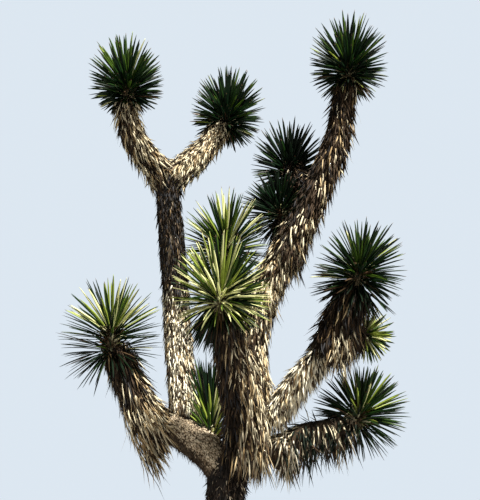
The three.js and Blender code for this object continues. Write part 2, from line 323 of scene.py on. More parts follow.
def scattered_stones(name, count, seed):
    """Small rounded stones, scattered evenly over the soil.

    Each is a ball whose rings lie at the given shares of the half turn from top to bottom. It is pushed out
    of round and flattened at random, and turned about +Z. Few stones are large."""
    rng = np.random.default_rng(seed)
    nearest, furthest = STONE_REACH
    reach = np.sqrt(rng.uniform(nearest ** 2, furthest ** 2, count))
    heading = rng.uniform(0, 2 * np.pi, count)
    size = STONE_LEAST_SIZE + STONE_MORE_SIZE * rng.random(count) ** 3
    polar = np.array(STONE_RINGS) * np.pi
    turn = np.arange(STONE_SIDES) * np.pi / 3
    ring, height = np.sin(polar)[:, None], np.cos(polar)[:, None]
    ball = np.stack([ring * np.cos(turn), ring * np.sin(turn), height + 0 * turn], axis=-1).reshape(-1, 3)
    ball = np.vstack([ball, (0, 0, 1), (0, 0, -1)])
    bumps = rng.uniform(0.75, 1.2, (count, len(ball), 1))
    flattening = rng.uniform([0.8, 0.8, 0.5], [1.4, 1.0, 0.8], (count, 1, 3))
    corners = ball * bumps * flattening
    spin = rng.uniform(0, 2 * np.pi, (count, 1))
    x = corners[..., 0] * np.cos(spin) - corners[..., 1] * np.sin(spin)
    y = corners[..., 0] * np.sin(spin) + corners[..., 1] * np.cos(spin)
    corners = np.stack([x, y, corners[..., 2]], axis=-1) * size[:, None, None]
    lying_at = SOIL_TOP + 0.006 + 0.3 * size
    corners += np.stack([reach * np.cos(heading), reach * np.sin(heading), lying_at], axis=-1)[:, None]
    here = np.arange(STONE_SIDES)
    after = (here + 1) % STONE_SIDES
    above = STONE_SIDES * np.arange(len(STONE_RINGS) - 1)[:, None]
    below = above + STONE_SIDES
    bands = np.stack([above + here, below + here, below + after, above + after], axis=-1).reshape(-1, 4)
    top, bottom = len(ball) - 2, len(ball) - 1
    caps = np.vstack([
        np.stack([np.full(STONE_SIDES, top), here, after], axis=-1),
        np.stack([np.full(STONE_SIDES, bottom), below[-1] + after, below[-1] + here], axis=-1),
    ])
    first = len(ball) * np.arange(count)[:, None, None]
    quads = (bands + first).reshape(-1, 4)
    triangles = (caps + first).reshape(-1, 3)
    piece = put_mesh(name, corners.reshape(-1, 3), quads, triangles)
    tint = rng.integers(0, len(STONE_SHADES), count)
    numbers = np.concatenate([np.repeat(tint, len(bands)), np.repeat(tint, len(caps))])
    piece.data.polygons.foreach_set("material_index", numbers.astype(np.int32))
    return piece


stones = scattered_stones("soil_stones", STONE_COUNT, STONE_SEED)
for number, shade in enumerate(STONE_SHADES):
    stone, tree, shader = surface(f"stone_{number + 1}", shade, roughness=0.9)
    raised(tree, shader, grain(tree, scale=420, detail=5), distance=0.0008, strength=0.6)
    stones.data.materials.append(stone)
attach(stones, "root")


# The trunk: one short thick stem of fibrous corky wood, from a flared foot at the soil to the fork. Its bark
# is split into upright plates and drawn nearly black-brown, partly its own colour and partly painted shade
# under the crown, and torn fibres and pale chips of old leaf bases stand off it.
TRUNK_PATH = [(0.0, 0.0, 0.6903), (-0.008, 0.006, 1.0), (-0.004, 0.002, 1.315), (0.020, 0.0, 1.545)]
TRUNK_RADIUS = 0.115
FLARE_RADIUS = 0.08
FLARE_HEIGHT = 0.17
FORK_SWELL = 0.010
FORK_SWELL_START = 0.6
TRUNK_PLATES = {"step": 0.0055, "plate": (0.024, 0.060), "rise": 0.009, "seed": 31}
# Near black: the bark's own dark brown with painted shade under the crown; the trunk's chips likewise.
TRUNK_BARK = [
    (0.0, (0.005, 0.004, 0.003)),
    (0.35, (0.017, 0.011, 0.008)),
    (0.72, (0.044, 0.030, 0.020)),
    (1.0, (0.18, 0.135, 0.09)),
]
TRUNK_CHIP_TINTS = {
    "chip_black": (0.010, 0.007, 0.005),
    "chip_brown": (0.042, 0.028, 0.018),
    "chip_tan": (0.15, 0.105, 0.068),
    "chip_pale": (0.50, 0.42, 0.31),
}
TRUNK_CHIPS = {
    "span": (0.06, 1.0), "count": 5200, "reach": (0.022, 0.060), "breadth": (0.004, 0.011), "lift": 0.30,
    "shares": (0.62, 0.20, 0.08, 0.10), "seed": 35,
}
CHIP_SHAPE = [(0.0, 0.6), (0.4, 1.0)]
CHIP_FOOT_DEPTH = 0.004
GOLDEN_TURN = 2.39996
CURVE_STEPS = 90
LIMB_STEPS = 400
DOME_RINGS = 7
DOME_TIP_ANGLE = 0.12
DOME_DEPTH = 0.5
CRACK = (0.03, 0.35)
PLATE_LEAST = 0.55
PLATE_MORE = 0.45
SCAR_EDGE = (0.08, 0.30)
SWELLING = 0.05
SWELLING_WAVE = 0.23
CRUMB = 0.12
CRUMB_WAVE = 0.012
# The span of downward-facing sides over which bare bark and its chips get painted shade.
PAINTED_SHADE_UNDERSIDE = (-0.05, 0.5)
KEEL_SHARE = 0.16
KEEL_LEAST = 0.0006


def unit(vectors):
    """The same directions with length 1."""
    return vectors / np.maximum(np.linalg.norm(vectors, axis=-1, keepdims=True), 1e-9)


def smooth_path(points, count):
    """The smooth curve through the points, as places at equal steps, with its tangents and its length.

    It is the centripetal Catmull-Rom curve: between two points it is the cubic whose end slopes come from the
    neighbours on both sides, each step weighed by the square root of its length."""
    points = np.array(points, float)
    ends = np.vstack([2 * points[0] - points[1], points, 2 * points[-1] - points[-2]])
    share = np.linspace(0, 1, CURVE_STEPS)[:, None]
    fine = []
    for before, first, second, beyond in zip(ends, ends[1:], ends[2:], ends[3:]):
        pairs = ((before, first), (first, second), (second, beyond))
        lead, span, trail = (np.linalg.norm(end - start) ** 0.5 for start, end in pairs)
        slope_in = (first - before) / lead - (second - before) / (lead + span) + (second - first) / span
        slope_out = (second - first) / span - (beyond - first) / (span + trail) + (beyond - second) / trail
        slope_in, slope_out = slope_in * span, slope_out * span
        bend = -3 * first + 3 * second - 2 * slope_in - slope_out
        twist = 2 * first - 2 * second + slope_in + slope_out
        fine.append(first + slope_in * share + bend * share ** 2 + twist * share ** 3)
    fine = np.vstack(fine)
    reach = np.concatenate([[0], np.cumsum(np.linalg.norm(np.diff(fine, axis=0), axis=1))])
    steps = np.linspace(0, reach[-1], count)
    places = np.stack([np.interp(steps, reach, column) for column in fine.T], axis=-1)
    return places, unit(np.gradient(places, axis=0)), reach[-1]


def path_length(path):
    """The length of the smooth curve through the points."""
    return smooth_path(path, 2)[2]


def spokes(along, angle):
    """Directions square to along, at an angle round it. On an upright limb they turn from -X towards -Y."""
    side = unit(np.cross(along, (0.0, 1.0, 0.0)))
    front = np.cross(along, side)
    return side * np.cos(angle)[..., None] + front * np.sin(angle)[..., None]


def round_limb(path, share, angle):
    """The middle, outward direction and tangent at a share of a path's length and an angle round it."""
    places, tangents, _ = smooth_path(path, LIMB_STEPS)
    row = np.clip(share, 0, 1) * (LIMB_STEPS - 1)
    low = np.floor(row).astype(int)
    high = np.minimum(low + 1, LIMB_STEPS - 1)
    middle = blend_between(places[low], places[high], (row - low)[..., None])
    return middle, spokes(tangents[low], angle), tangents[low]


def bark_cells(turn, along, girth, plate, seed):
    """How an unrolled bark surface splits into plates round scattered points.

    turn runs once round from 0 to 1 and along is in metres. Each cell of a grid of plate sizes holds one
    point at random, and every place is compared with the points of its own cell and of the eight round it.
    Returned are the distance to the nearest point, how much further the next one is, both in cells, and the
    nearest one's number."""
    rng = np.random.default_rng(seed)
    columns = max(5, round(girth / plate[0]))
    rows = int(along.max() / plate[1]) + 4
    points = rng.random((rows, columns, 2))
    numbers = rng.random((rows, columns))
    u, v = turn * columns, along / plate[1] + 1
    column, row = np.floor(u).astype(int), np.floor(v).astype(int)
    nearest = np.full(u.shape, np.inf)
    second = nearest.copy()
    number = np.zeros(u.shape)
    for up in (-1, 0, 1):
        for over in (-1, 0, 1):
            r, c = np.clip(row + up, 0, rows - 1), (column + over) % columns
            distance = np.hypot(column + over + points[r, c, 0] - u, row + up + points[r, c, 1] - v)
            second = np.minimum(second, np.maximum(nearest, distance))
            number = np.where(distance < nearest, numbers[r, c], number)
            nearest = np.minimum(nearest, distance)
    return nearest, second - nearest, number


def tint_by(piece, name, values):
    """One number for each corner, kept on the mesh under that name, for the material to read.

    The two corners at the ends of the stack take the mean."""
    attribute = piece.data.attributes.new(name, "FLOAT", "POINT")
    values = np.concatenate([values.ravel(), [values.mean(), values.mean()]])
    attribute.data.foreach_set("value", values.astype(np.float32))


def bark(name, stops, grain_scale):
    """Corky bark with a fine relief. Its colour follows the height of the plates times a fine noise; on bare
    limbs that height also carries painted shade on the underside.
    """
    material, tree, shader = surface(name, stops[1][1], roughness=0.93)
    plate = tree.nodes.new("ShaderNodeAttribute")
    plate.attribute_name = "plate_height_and_painted_shade"
    fleck = spread(tree, grain(tree, grain_scale, detail=8, stretch=0.35), low=0.25, high=0.75)
    total = tree.nodes.new("ShaderNodeMath")
    total.operation = "MULTIPLY"
    tree.links.new(plate.outputs["Fac"], total.inputs[0])
    tree.links.new(fleck, total.inputs[1])
    tree.links.new(shades(tree, total.outputs["Value"], stops), shader.inputs["Base Color"])
    fibres = grain(tree, grain_scale * 1.7, detail=8, stretch=0.4)
    raised(tree, shader, fibres, distance=0.004, strength=0.8)
    return material


def limb_rings(path, radius_at, rings, around):
    """Places, outward directions and turns for rings round a path, closed by a low dome at either end.

    The dome's rings lie past the end of the path by up to half the radius, and shrink as a quarter ellipse.
    The places along the limb are counted from a little before its lower dome."""
    places, tangents, length = smooth_path(path, rings)
    share = np.linspace(0, 1, rings)
    quarter = np.linspace(np.pi / 2, DOME_TIP_ANGLE, DOME_RINGS + 1)[1:]
    shrink = np.concatenate([np.sin(quarter)[::-1], np.ones(rings), np.sin(quarter)])
    past = np.concatenate([-np.cos(quarter)[::-1], np.zeros(rings), np.cos(quarter)]) * DOME_DEPTH
    row = np.concatenate([np.zeros(DOME_RINGS, int), np.arange(rings), np.full(DOME_RINGS, rings - 1)])
    radius = radius_at(share[row])
    middle = places[row] + tangents[row] * (past * radius)[:, None]
    turn = np.arange(around) / around
    outward = spokes(tangents[row][:, None], turn * 2 * np.pi)
    before_dome = 0.1
    along = share[row] * length + past * radius + before_dome
    turn, along = np.broadcast_arrays(turn[None, :], along[:, None])
    return middle[:, None], outward, (radius * shrink)[:, None], turn, along, shrink


def trunk_radius(share):
    """The trunk's radius: an even core, a root flare that dies away upwards, and a swelling at the fork."""
    rise = share * (TRUNK_PATH[-1][2] - TRUNK_PATH[0][2])
    flare = FLARE_RADIUS * np.exp(-rise / FLARE_HEIGHT)
    return TRUNK_RADIUS + flare + FORK_SWELL * ease(share, FORK_SWELL_START, 1.0)


def barked_limb(name, path, radius_at, step, plate, rise, seed, material, pits=0.0):
    """A limb with its bark, on a grid of about one step.

    Each plate stands out by up to rise, cracks run between plates, and a slow waviness makes the limb uneven.
    Where pits is above 0 the middle of each plate sinks by that depth, as a leaf scar does, and is darker,
    and the underside gets painted shade."""
    girth = 2 * np.pi * float(radius_at(np.array([0.5]))[0])
    rings = max(8, round(path_length(path) / step))
    around = max(16, round(girth / step))
    middle, outward, radius, turn, along, shrink = limb_rings(path, radius_at, rings, around)
    nearest, edge, number = bark_cells(turn, along, girth, plate, seed)
    height = ease(edge, *CRACK) * (PLATE_LEAST + PLATE_MORE * number)
    scar = pits * (1 - ease(nearest, *SCAR_EDGE))
    places = middle + outward * radius[..., None]
    swellings = SWELLING * girth / 6 * waviness(places, SWELLING_WAVE, seed + 1)
    crumbs = CRUMB * rise * waviness(places, CRUMB_WAVE, seed + 2)
    relief = (rise * height - scar + (swellings + crumbs) - 0.5 * rise) * shrink[:, None]
    piece = stacked_rings(name, places + outward * relief[..., None])
    if pits:
        # Darker in the sunk middles of the plates, and painted shade towards the underside.
        height = height * (1 - 0.8 * scar / pits) * (1 - 0.9 * ease(-outward[..., 2], *PAINTED_SHADE_UNDERSIDE))
    tint_by(piece, "plate_height_and_painted_shade", np.clip(height, 0.02, 1))
    piece.data.materials.append(material)
    return piece


def dealt(shares, count, rng):
    """A tint number for each of count leaves, dealt at random so that each number gets its share."""
    return np.minimum(np.searchsorted(np.cumsum(shares), rng.random(count)), len(shares) - 1)


def blades(
    name, root, heading_in, heading_out, length, width, facing, fold, shape, tints, tint, tip_tint, base_tint,
    shade_tint=None,
):
    """Long narrow leaves or chips, all in one mesh.

    Each is a closed blade whose section has three or four corners: its two edges, its midrib and, for a fold
    above 0, a keel below the midrib. The midrib starts at root along heading_in and turns evenly to
    heading_out. At share s of its length it is at
    root + length * (heading_in * s + (heading_out - heading_in) * s^2 / 2). The edges stand above it by fold
    times half the width. shape holds (s, share of the width) rows, and the blade ends in a point at s = 1.

    A blade has its tint, with shade_tint on one side, base_tint round its foot and tip_tint at its point."""
    rows = np.array(shape)
    count, steps = len(root), len(rows)
    s = rows[:, 0][None, :, None]
    half = 0.5 * width[:, None, None] * rows[:, 1][None, :, None]
    turn = heading_out - heading_in
    middle = root[:, None] + length[:, None, None] * (heading_in[:, None] * s + turn[:, None] * s * s / 2)
    tip = root + length[:, None] * (heading_in + turn / 2)
    along = unit(heading_in[:, None] + turn[:, None] * s)
    across = unit(np.cross(along, facing[:, None]))
    above = np.cross(across, along)
    rim = above * half * fold[:, None, None]
    section = [middle - across * half + rim, middle, middle + across * half + rim]
    if fold.min() > 0:
        section.append(middle - above * (half * KEEL_SHARE + KEEL_LEAST))
    section = np.stack(section, axis=2)
    sides = section.shape[2]
    corners = np.concatenate([section.reshape(count, steps * sides, 3), tip[:, None]], axis=1)
    stride = steps * sides + 1
    side = np.arange(sides)
    after = (side + 1) % sides
    below = sides * np.arange(steps - 1)[:, None]
    walls = np.stack([below + side, below + sides + side, below + sides + after, below + after], axis=-1)
    walls = walls.reshape(-1, 4)
    last = sides * (steps - 1)
    point = np.stack([last + side, np.full(sides, stride - 1), last + after], axis=-1)
    foot = np.array([[0, 1, 2], [0, 2, 3]][: sides - 2])
    first = stride * np.arange(count)[:, None, None]
    quads = (walls + first).reshape(-1, 4)
    triangles = (np.vstack([foot, point]) + first).reshape(-1, 3)
    piece = put_mesh(name, corners.reshape(-1, 3), quads, triangles)
    wall_tint = np.repeat(tint[:, None], len(walls), axis=1).reshape(count, steps - 1, sides)
    point_tint = np.repeat(tip_tint[:, None], sides, axis=1)
    if shade_tint is not None:
        wall_tint[:, :, 0] = shade_tint[:, None]
        point_tint[:, 0] = shade_tint
    wall_tint[:, 0, :] = base_tint[:, None]
    foot_tint = np.repeat(base_tint[:, None], len(foot), axis=1)
    triangle_tint = np.concatenate([foot_tint, point_tint], axis=1)
    numbers = np.concatenate([wall_tint.ravel(), triangle_tint.ravel()])
    piece.data.polygons.foreach_set("material_index", numbers.astype(np.int32))
    for material in tints:
        piece.data.materials.append(material)
    return piece


def plain_tints(tints, roughness, ribs):
    """One material for each plain tint, with fine ribs in its relief."""
    materials = []
    for name, colour in tints.items():
        material, tree, shader = surface(name, colour, roughness)
        shader.inputs["Specular IOR Level"].default_value = 0.25
        fine_ribs = grain(tree, ribs, detail=3, stretch=0.3)
        raised(tree, shader, fine_ribs, distance=0.0005, strength=0.5)
        materials.append(material)
    return materials


def bark_chips(name, path, radius_at, span, count, reach, breadth, lift, tints, shares, seed):
    """Torn fibres and chips on the shares of a limb in span, reach long, breadth wide and lifted by lift.

    Each starts in the bark, lies roughly back along the limb and lifts off it. On the underside they are
    longer and have the first, darkest tint, as painted shade."""
    rng = np.random.default_rng(seed)
    share = rng.uniform(*span, count)
    middle, outward, tangent = round_limb(path, share, np.arange(count) * GOLDEN_TURN)
    root = middle + outward * (radius_at(share) - CHIP_FOOT_DEPTH)[:, None]
    way = unit(-tangent + rng.normal(0, 0.35, (count, 3)))
    heading_in = unit(way + outward * rng.uniform(0.2, 1.0, count)[:, None] * lift)
    heading_out = unit(way + outward * rng.uniform(-0.2, 0.6, count)[:, None] * lift)
    facing = unit(outward + rng.normal(0, 0.5, (count, 3)))
    # Painted shade: chips on the underside take the first, darkest tint.
    under = ease(-outward[:, 2], *PAINTED_SHADE_UNDERSIDE)
    tint = np.where(rng.random(count) < under, 0, dealt(shares, count, rng))
    size = rng.uniform(*reach, count) * (1 + under)
    width = rng.uniform(*breadth, count)
    fold = rng.uniform(-0.5, -0.1, count)
    return blades(
        name, root, heading_in, heading_out, size, width, facing, fold, CHIP_SHAPE, tints, tint, tint, tint
    )


trunk_bark = bark("trunk_bark", TRUNK_BARK, grain_scale=90)
trunk = barked_limb("trunk_bark", TRUNK_PATH, trunk_radius, material=trunk_bark, **TRUNK_PLATES)
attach(trunk, "root")
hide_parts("trunk")

trunk_chip_tints = plain_tints(TRUNK_CHIP_TINTS, roughness=0.9, ribs=700)
trunk_chips = bark_chips("trunk_chips", TRUNK_PATH, trunk_radius, tints=trunk_chip_tints, **TRUNK_CHIPS)
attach(trunk_chips, "root")


# The limbs: tapering arms of the same fibrous wood. The left bough and the feet of the low and middle arms
# are bare, and show a pale net of leaf scars with a nap of torn fibres. The rest has dark bark under its
# dead leaves.

# The radius at the foot and at the tip of each limb, and the points that its middle passes through.
LIMBS = {
    "left_bough": ((0.116, 0.104), [
        (0.010, 0.000, 1.490), (-0.138, 0.050, 1.640), (-0.258, 0.110, 1.727), (-0.363, 0.130, 1.792)]),
    "left_stem": ((0.074, 0.060), [
        (-0.270, 0.130, 1.771), (-0.293, 0.150, 1.960), (-0.335, 0.170, 2.323), (-0.363, 0.150, 2.749),
        (-0.398, 0.100, 3.118), (-0.418, 0.050, 3.354), (-0.430, 0.020, 3.595)]),
    "top_left_arm": ((0.060, 0.044), [
        (-0.440, 0.020, 3.525), (-0.525, -0.040, 3.640), (-0.610, -0.120, 3.720), (-0.675, -0.200, 3.830),
        (-0.705, -0.240, 3.975), (-0.705, -0.250, 4.060)]),
    "inner_left_arm": ((0.060, 0.044), [
        (-0.425, 0.020, 3.525), (-0.345, 0.060, 3.625), (-0.240, 0.130, 3.750), (-0.145, 0.200, 3.890),
        (-0.075, 0.260, 4.030), (-0.040, 0.285, 4.095)]),
    "low_left_arm": ((0.060, 0.046), [
        (-0.337, 0.125, 1.771), (-0.440, 0.125, 1.830), (-0.552, 0.120, 1.944), (-0.646, 0.100, 2.084),
        (-0.722, 0.080, 2.236), (-0.766, 0.060, 2.330)]),
    "right_bough": ((0.080, 0.046), [
        (0.080, 0, 1.490), (0.150, 0.020, 1.695), (0.175, 0.040, 1.960), (0.145, 0.080, 2.275),
        (0.170, 0.100, 2.465), (0.220, 0.120, 2.640), (0.290, 0.130, 2.805), (0.395, 0.150, 2.985),
        (0.500, 0.170, 3.200), (0.620, 0.190, 3.450), (0.735, 0.205, 3.700), (0.820, 0.215, 3.945),
        (0.870, 0.215, 4.195), (0.905, 0.205, 4.400)]),
    "centre_stem": ((0.070, 0.048), [
        (0.090, -0.010, 1.520), (0.125, -0.080, 1.720), (0.110, -0.190, 1.935), (0.068, -0.330, 2.135),
        (0.020, -0.470, 2.300), (-0.015, -0.570, 2.430)]),
    "centre_back_arm": ((0.056, 0.046), [
        (0.155, 0.085, 2.310), (0.120, 0.080, 2.530), (0.065, 0.090, 2.750), (0.010, 0.100, 2.960)]),
    "low_right_arm": ((0.056, 0.046), [
        (0.155, 0.010, 1.560), (0.385, 0.045, 1.668), (0.466, 0.080, 1.712), (0.577, 0.130, 1.760),
        (0.727, 0.200, 1.792), (0.862, 0.280, 1.842)]),
    "mid_right_arm": ((0.060, 0.048), [
        (0.190, 0.025, 1.740), (0.286, 0.010, 1.852), (0.378, 0.000, 1.958), (0.513, -0.020, 2.134),
        (0.667, -0.040, 2.305), (0.778, -0.060, 2.508), (0.872, -0.080, 2.711)]),
    "mid_right_shoot": ((0.044, 0.036), [
        (0.723, -0.050, 2.419), (0.833, 0.040, 2.418), (0.941, 0.120, 2.422)]),
    "behind_arm": ((0.056, 0.046), [(0.620, 0.195, 3.450), (0.575, 0.320, 3.575), (0.500, 0.535, 3.820)]),
    "inner_arm": ((0.052, 0.042), [(0.400, 0.150, 2.985), (0.420, 0.215, 3.140), (0.404, 0.285, 3.300)]),
    "bough_shoot": ((0.050, 0.042), [
        (-0.150, 0.060, 1.650), (-0.142, 0.090, 1.700), (-0.125, 0.110, 1.750)]),
}
# How many torn fibres stand on each bare limb, and on what share of it, from its foot.
BARE_LIMBS = {
    "left_bough": (4500, 1.0),
    "low_left_arm": (500, 0.35),
    "low_right_arm": (500, 0.35),
    "mid_right_arm": (400, 0.35),
}
BARE_PLATES = {"step": 0.0045, "plate": (0.017, 0.036), "rise": 0.008, "pits": 0.006}
HIDDEN_PLATES = {"step": 0.014, "plate": (0.03, 0.06), "rise": 0.005}
LIMB_SEED = 40
SCAR_BARK = [
    (0.0, (0.030, 0.020, 0.012)),
    (0.12, (0.28, 0.20, 0.125)),
    (0.28, (0.80, 0.66, 0.47)),
    (1.0, (0.93, 0.84, 0.67)),
]
COVERED_BARK = [(0.0, (0.010, 0.007, 0.005)), (0.5, (0.045, 0.03, 0.02)), (1.0, (0.12, 0.085, 0.055))]
SCAR_CHIP_TINTS = {
    "scar_chip_dark": (0.075, 0.050, 0.032),
    "scar_chip_tan": (0.56, 0.43, 0.28),
    "scar_chip_pale": (0.88, 0.75, 0.54),
}
SCAR_CHIPS = {
    "reach": (0.014, 0.040), "breadth": (0.002, 0.0055), "lift": 0.34, "shares": (0.24, 0.36, 0.40),
}
SCAR_CHIP_SEED = 100

scar_bark = bark("scar_bark", SCAR_BARK, grain_scale=120)
covered_bark = bark("covered_bark", COVERED_BARK, grain_scale=90)
scar_chip_tints = plain_tints(SCAR_CHIP_TINTS, roughness=0.9, ribs=700)
for number, (limb, ((foot_radius, tip_radius), path)) in enumerate(LIMBS.items()):
    bare = limb in BARE_LIMBS
    limb_radius = partial(blend_between, foot_radius, tip_radius)
    finish = {"material": scar_bark, **BARE_PLATES} if bare else {"material": covered_bark, **HIDDEN_PLATES}
    limb_mesh = barked_limb(f"{limb}_bark", path, limb_radius, seed=LIMB_SEED + 3 * number, **finish)
    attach(limb_mesh, "root")
    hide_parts(limb)
    if bare:
        chip_count, bare_share = BARE_LIMBS[limb]
        chips = bark_chips(
            f"{limb}_chips", path, limb_radius, span=(0.0, bare_share), count=chip_count,
            tints=scar_chip_tints, seed=SCAR_CHIP_SEED + number, **SCAR_CHIPS,
        )
        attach(chips, "root")


# The thatch: leaves that died in earlier years, bent down at their feet and hanging in layers round the limb.
# The inner ones are brown and matted, drawn near black with painted shade, the outer ones are bleached to
# straw, and the lowest hem is ragged.

# The limb, the shares of it that are covered, the thickness low down and high up, and the drop below.
THATCHES = {
    "left_stem_thatch": ("left_stem", 0.05, 0.99, (0.030, 0.032), 0.030),
    "right_lower_thatch": ("right_bough", 0.02, 0.50, (0.086, 0.056), 0.080),
    "right_upper_thatch": ("right_bough", 0.50, 0.97, (0.072, 0.040), 0.050),
    "centre_thatch": ("centre_stem", 0.06, 0.95, (0.108, 0.058), 0.140),
    "top_left_thatch": ("top_left_arm", 0.02, 0.95, (0.032, 0.026), 0.050),
    "inner_left_thatch": ("inner_left_arm", 0.02, 0.95, (0.046, 0.036), 0.040),
    "low_left_thatch": ("low_left_arm", 0.07, 0.94, (0.064, 0.060), 0.450),
    "centre_back_thatch": ("centre_back_arm", 0.30, 0.95, (0.044, 0.044), 0.060),
    "low_right_thatch": ("low_right_arm", 0.14, 0.90, (0.036, 0.030), 0.020),
    "mid_right_thatch": ("mid_right_arm", 0.12, 0.57, (0.022, 0.026), 0.030),
    "mid_right_skirt": ("mid_right_arm", 0.59, 0.96, (0.086, 0.084), 0.300),
    "behind_thatch": ("behind_arm", 0.22, 0.94, (0.056, 0.060), 0.160),
    "inner_thatch": ("inner_arm", 0.34, 0.92, (0.040, 0.044), 0.060),
    "mid_right_shoot_fringe": ("mid_right_shoot", 0.05, 0.70, (0.045, 0.030), 0.150),
    "low_right_fringe": ("low_right_arm", 0.19, 0.33, (0.026, 0.022), 0.190),
    "bough_shoot_fringe": ("bough_shoot", 0.30, 1.00, (0.034, 0.034), 0.040),
}
# The fringes are too thin for solids of their own.
FRINGES = ("mid_right_shoot_fringe", "low_right_fringe", "bough_shoot_fringe")
HANG_GROWS = 0.8
RUFFLE = 0.12
DEAD_TINTS = {
    "bleached": (0.79, 0.70, 0.49),
    "straw": (0.57, 0.435, 0.245),
    "tan": (0.30, 0.205, 0.100),
    "brown": (0.062, 0.038, 0.021),
    "grey_brown": (0.034, 0.033, 0.035),
    "withered": (0.016, 0.0095, 0.0045),
    "dark_green": (0.010, 0.020, 0.012),
    # Painted light: a white brighter than bleached leaves, for thatches that lie in cast shadow.
    "painted_light_white": (0.95, 0.89, 0.71),
}
DEAD_NUMBER = {name: number for number, name in enumerate(DEAD_TINTS)}
# Shares of the tints, in their order above. A tint past the end of a row gets no leaves.
# INNER: the inner leaves' own brown, made near black with painted shade.
INNER = (0.00, 0.02, 0.08, 0.40, 0.00, 0.50, 0.00)
# SHADED, GREYED and GREENISH are painted shade, for the parts of thatches in the shade of the heads and limbs
# above.
SHADED = (0.01, 0.02, 0.03, 0.20, 0.20, 0.54, 0.00)
GREYED = (0.00, 0.01, 0.01, 0.03, 0.50, 0.45, 0.00)
GREENISH = (0.07, 0.03, 0.01, 0.02, 0.03, 0.26, 0.58)
# Casts of the outer leaves: shares of the tints, the depths in the thatch between which these leaves set in,
# how much painted shade the side turned away from the lit side gets, and how much painted shade
# the partings between locks get.
BRIGHT = ((0.66, 0.24, 0.06, 0.03, 0.00, 0.01, 0.00), (0.02, 0.38), 0.35, 0.55)
# CREAM is partly real bleaching and partly painted light: with its brightest white it lightens thatches that
# lie in cast shadow.
CREAM = ((0.22, 0.10, 0.03, 0.00, 0.00, 0.00, 0.00, 0.65), (0.00, 0.15), 0.15, 0.25)
SUNNED = ((0.50, 0.27, 0.11, 0.08, 0.00, 0.04, 0.00), (0.20, 0.68), 0.94, 0.55)
# DULL is painted shade: it darkens the thatches that sit in the shade of the heads.
DULL = ((0.32, 0.18, 0.12, 0.18, 0.02, 0.18, 0.00), (0.45, 0.92), 1.00, 0.55)
GILT = ((0.46, 0.24, 0.12, 0.08, 0.00, 0.10, 0.00), (0.25, 0.70), 1.00, 0.55)
TAWNY = ((0.64, 0.29, 0.06, 0.01, 0.00, 0.00, 0.00), (0.00, 0.16), 0.08, 0.42)
# The side that is painted lit; leaves turned away from it get painted shade.
PAINTED_LIGHT_SIDE = (0.84, -0.52, 0.15)
# Shares of a thatch that lie past its end.
NEVER = (2, 3)
# How the leaves of each thatch lie: the share that they follow the limb and not the plumb line, their lengths
# and breadths, how far they stand off, how crowded they are, their cast, the shares of the thatch between
# which they turn dark with painted shade, as under a head, and the shares of the tints there.
LAYS = {
    "left_stem_thatch": (1.0, (0.040, 0.095), (0.008, 0.014), 0.15, 2.0, CREAM, (0.36, 0.60), GREYED),
    "right_lower_thatch": (0.40, (0.085, 0.180), (0.009, 0.016), 0.26, 1.1, BRIGHT, NEVER, SHADED),
    "right_upper_thatch": (0.45, (0.085, 0.180), (0.009, 0.015), 0.26, 1.1, DULL, NEVER, SHADED),
    "centre_thatch": (0.40, (0.080, 0.170), (0.009, 0.016), 0.26, 1.1, SUNNED, (0.60, 1.10), SHADED),
    "top_left_thatch": (0.65, (0.070, 0.160), (0.009, 0.015), 0.42, 1.3, BRIGHT, NEVER, SHADED),
    "inner_left_thatch": (0.70, (0.060, 0.130), (0.009, 0.015), 0.40, 1.3, BRIGHT, NEVER, SHADED),
    "low_left_thatch": (0.66, (0.110, 0.200), (0.009, 0.015), 0.18, 1.6, TAWNY, (0.38, 0.78), SHADED),
    "centre_back_thatch": (0.60, (0.080, 0.150), (0.009, 0.015), 0.26, 1.0, DULL, (0.0, 0.3), SHADED),
    "low_right_thatch": (0.03, (0.130, 0.290), (0.010, 0.016), 0.34, 0.42, CREAM, (0.08, 0.26), GREENISH),
    "mid_right_thatch": (0.12, (0.060, 0.140), (0.010, 0.017), 0.06, 2.2, CREAM, (0.85, 1.2), SHADED),
    "mid_right_skirt": (0.25, (0.090, 0.190), (0.009, 0.015), 0.40, 1.3, GILT, (0.40, 0.80), SHADED),
    "behind_thatch": (0.60, (0.100, 0.200), (0.010, 0.016), 0.50, 1.6, DULL, (0.0, 0.1), SHADED),
    "inner_thatch": (0.60, (0.070, 0.140), (0.010, 0.016), 0.26, 1.0, DULL, (0.0, 0.3), SHADED),
    "mid_right_shoot_fringe": (0.10, (0.100, 0.190), (0.009, 0.015), 0.30, 1.6, SUNNED, (0.45, 0.80), SHADED),
    "low_right_fringe": (0.05, (0.090, 0.200), (0.010, 0.016), 0.20, 2.2, CREAM, NEVER, SHADED),
    "bough_shoot_fringe": (0.30, (0.070, 0.160), (0.009, 0.015), 0.60, 2.5, DULL, (0.0, 0.1), SHADED),
}
DEAD_LEAVES_PER_SQUARE_METRE = 3800
LOCK_WIDTH = 0.085
LOCK_RADIUS = 0.12
LOCK_DRAWN_OUT = 0.25
PARTING = (0.15, 0.75)
# How far a leaf turns away from the lit side, between which its painted shade sets in.
PAINTED_SHADE_SPAN = (-0.60, 0.1)
STRAY_SHARE = 0.06
STRAY_RISE = 0.3
BROWN_TIPS = 0.2
BROWN_FEET = 0.15
PALE_GREEN_FEET = 0.35
DEAD_LEAF_SHAPE = [(0.0, 0.7), (0.45, 1.0)]
DEAD_LEAF_SEED = 300
MAT_RINGS = 60
MAT_AROUND = 44
MAT_SEED = 200
# Painted light: the thatches in PALE_MATS get a pale mat under their light outer leaves, the others a dark
# one.
PALE_MATS = ("mid_right_thatch", "left_stem_thatch", "inner_left_thatch")
MATTED_PALE = [(0.25, (0.13, 0.095, 0.062)), (0.5, (0.36, 0.28, 0.185)), (0.75, (0.58, 0.47, 0.33))]
